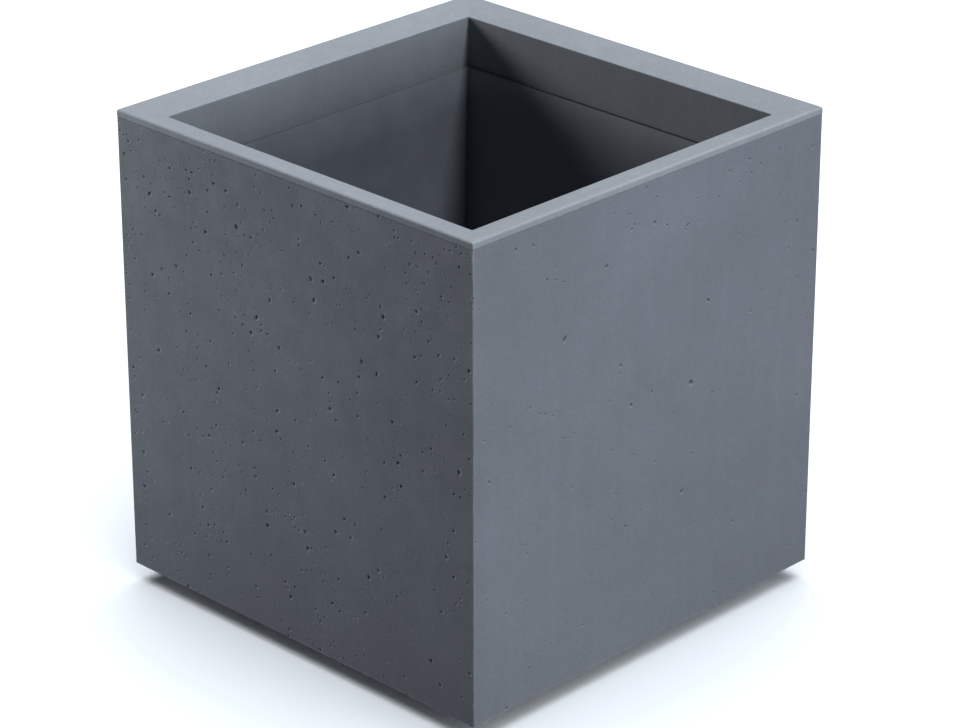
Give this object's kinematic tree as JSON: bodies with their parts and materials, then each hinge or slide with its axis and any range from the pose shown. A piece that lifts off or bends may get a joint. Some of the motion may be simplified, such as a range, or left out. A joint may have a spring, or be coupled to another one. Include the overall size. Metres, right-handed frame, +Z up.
{
  "type": "planter box",
  "caption": "Square concrete planter with a smooth inward-falling rim, pored sides, lift-out sheet liner and drain, on a recessed plinth with levelling feet.",
  "frame": {"origin": "on the floor under the middle of the footprint", "axes": "+Z up; the front panel faces -Y and the right panel faces +X"},
  "size_m": [0.5, 0.5, 0.5293],
  "materials": {
    "pored_concrete": "matt, open pores",
    "smooth_concrete": "matt, smooth",
    "cement_board": "matt",
    "galvanised_tube": "galvanised",
    "plinth_coat": "matt black powder coat",
    "liner_coat": "matt graphite powder coat",
    "insulation_foam": "foam board",
    "zinc_hardware": "zinc plated",
    "insert_brass": "turned",
    "stainless_sheet": "satin stainless",
    "foot_plastic": "moulded",
    "sole_rubber": "matt"
  },
  "bodies": {
    "shell": {"base_board": "cement_board", "board_screws": "zinc_hardware", "bottom_rail_back": "galvanised_tube", "bottom_rail_front": "galvanised_tube", "bottom_rail_left": "galvanised_tube", "bottom_rail_right": "galvanised_tube", "collar_inserts": "insert_brass", "collar_screws": "zinc_hardware", "corner_post_back_left": "galvanised_tube", "corner_post_back_right": "galvanised_tube", "corner_post_front_left": "galvanised_tube", "corner_post_front_right": "galvanised_tube", "cross_bar_back": "galvanised_tube", "cross_bar_front": "galvanised_tube", "floor_insulation": "insulation_foam", "foot_bushes": "zinc_hardware", "foot_lock_nuts": "zinc_hardware", "panel_back": "pored_concrete", "panel_front": "pored_concrete", "panel_inserts": "insert_brass", "panel_left": "pored_concrete", "panel_right": "pored_concrete", "panel_screws": "zinc_hardware", "plinth_ring": "plinth_coat", "plinth_screws": "zinc_hardware", "rim_collar": "smooth_concrete", "side_insulation_back": "insulation_foam", "side_insulation_front": "insulation_foam", "side_insulation_left": "insulation_foam", "side_insulation_right": "insulation_foam", "top_rail_back": "galvanised_tube", "top_rail_front": "galvanised_tube", "top_rail_left": "galvanised_tube", "top_rail_right": "galvanised_tube"},
    "liner": {"liner_tub": "liner_coat", "lifting_lug_front_left": "liner_coat", "lifting_lug_back_right": "liner_coat", "drain_spigot": "liner_coat"},
    "strainer_cap": {"strainer": "stainless_sheet", "strainer_knob": "stainless_sheet"},
    "plug_seal": {"plug_gasket": "sole_rubber"},
    "plug": {"drain_plug": "insert_brass"},
    "pad_front_left": {"foot_pad_front_left": "foot_plastic", "foot_sole_front_left": "sole_rubber"},
    "stud_front_left": {"foot_stud_front_left": "zinc_hardware"},
    "pad_front_right": {"foot_pad_front_right": "foot_plastic", "foot_sole_front_right": "sole_rubber"},
    "stud_front_right": {"foot_stud_front_right": "zinc_hardware"},
    "pad_back_right": {"foot_pad_back_right": "foot_plastic", "foot_sole_back_right": "sole_rubber"},
    "stud_back_right": {"foot_stud_back_right": "zinc_hardware"},
    "pad_back_left": {"foot_pad_back_left": "foot_plastic", "foot_sole_back_left": "sole_rubber"},
    "stud_back_left": {"foot_stud_back_left": "zinc_hardware"}
  },
  "joints": [
    {"name": "liner_lift", "type": "slide", "parent": "shell", "child": "liner", "axis": [0, 0, 1], "range_m": [0, 0.52]},
    {"name": "strainer_lift", "type": "slide", "parent": "liner", "child": "strainer_cap", "axis": [0, 0, 1], "range_m": [0, 0.48]},
    {"name": "plug_travel", "type": "slide", "parent": "liner", "child": "plug_seal", "axis": [0, 0, -1], "range_m": [0, 0.01]},
    {"name": "plug_turn", "type": "hinge", "parent": "plug_seal", "child": "plug", "pos_m": [0, 0, 0.028], "axis": [0, 0, -1], "range_deg": [0, 1561]},
    {"name": "foot_travel_front_left", "type": "slide", "parent": "shell", "child": "pad_front_left", "axis": [0, 0, -1], "range_m": [0, 0.012]},
    {"name": "stud_turn_front_left", "type": "hinge", "parent": "pad_front_left", "child": "stud_front_left", "pos_m": [-0.165, -0.165, 0.01], "axis": [0, 0, -1], "range_deg": [0, 2881]},
    {"name": "foot_travel_front_right", "type": "slide", "parent": "shell", "child": "pad_front_right", "axis": [0, 0, -1], "range_m": [0, 0.012]},
    {"name": "stud_turn_front_right", "type": "hinge", "parent": "pad_front_right", "child": "stud_front_right", "pos_m": [0.165, -0.165, 0.01], "axis": [0, 0, -1], "range_deg": [0, 2881]},
    {"name": "foot_travel_back_right", "type": "slide", "parent": "shell", "child": "pad_back_right", "axis": [0, 0, -1], "range_m": [0, 0.012]},
    {"name": "stud_turn_back_right", "type": "hinge", "parent": "pad_back_right", "child": "stud_back_right", "pos_m": [0.165, 0.165, 0.01], "axis": [0, 0, -1], "range_deg": [0, 2881]},
    {"name": "foot_travel_back_left", "type": "slide", "parent": "shell", "child": "pad_back_left", "axis": [0, 0, -1], "range_m": [0, 0.012]},
    {"name": "stud_turn_back_left", "type": "hinge", "parent": "pad_back_left", "child": "stud_back_left", "pos_m": [-0.165, 0.165, 0.01], "axis": [0, 0, -1], "range_deg": [0, 2881]}
  ],
  "couplings": [
    {"joint": "plug_turn", "follows": "plug_travel", "rad_per_m": 2721.2},
    {"joint": "stud_turn_front_left", "follows": "foot_travel_front_left", "rad_per_m": 4188.8},
    {"joint": "stud_turn_front_right", "follows": "foot_travel_front_right", "rad_per_m": 4188.8},
    {"joint": "stud_turn_back_right", "follows": "foot_travel_back_right", "rad_per_m": 4188.8},
    {"joint": "stud_turn_back_left", "follows": "foot_travel_back_left", "rad_per_m": 4188.8}
  ]
}
